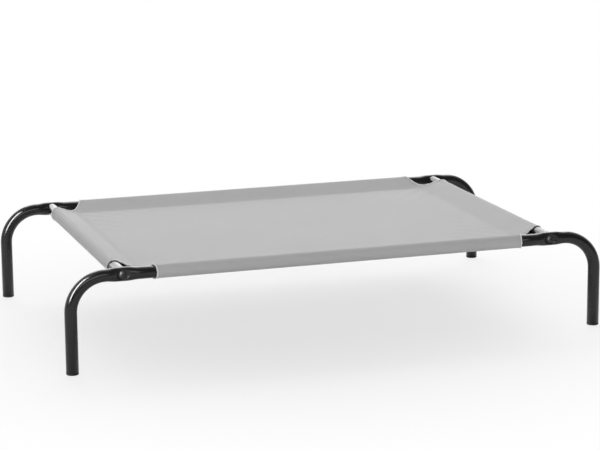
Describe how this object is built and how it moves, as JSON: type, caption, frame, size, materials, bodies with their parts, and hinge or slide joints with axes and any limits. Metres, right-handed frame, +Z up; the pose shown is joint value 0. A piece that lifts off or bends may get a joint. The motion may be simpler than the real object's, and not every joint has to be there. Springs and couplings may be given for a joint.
{
  "type": "raised pet cot",
  "caption": "Raised pet cot: a black bolted tube frame with bent legs and plug feet, and a light grey cloth sling stretched on sleeves along all sides.",
  "frame": {"origin": "on the floor, under the middle of the deck", "axes": "+X along the cot's length, +Y across it to the rear, +Z up"},
  "size_m": [1.1, 0.663, 0.1996],
  "materials": {
    "frame": "semi-gloss black powder coat",
    "foot": "matte moulded black plastic",
    "bolt": "black oxide",
    "insert": "turned steel",
    "cloth": "fine woven light grey cloth"
  },
  "bodies": {
    "root": {"leg_front_left": "frame", "leg_front_right": "frame", "leg_rear_left": "frame", "leg_rear_right": "frame", "foot_front_left": "foot", "foot_front_right": "foot", "foot_rear_left": "foot", "foot_rear_right": "foot", "bolt_front_left": "bolt", "bolt_front_right": "bolt", "bolt_rear_left": "bolt", "bolt_rear_right": "bolt", "insert_front_left": "insert", "insert_front_right": "insert", "insert_rear_left": "insert", "insert_rear_right": "insert", "side_rail_front": "frame", "side_rail_rear": "frame", "end_rail_left": "frame", "end_rail_right": "frame", "sling_deck": "cloth", "sleeve_front": "cloth", "sleeve_rear": "cloth", "sleeve_left": "cloth", "sleeve_right": "cloth"}
  },
  "joints": []
}
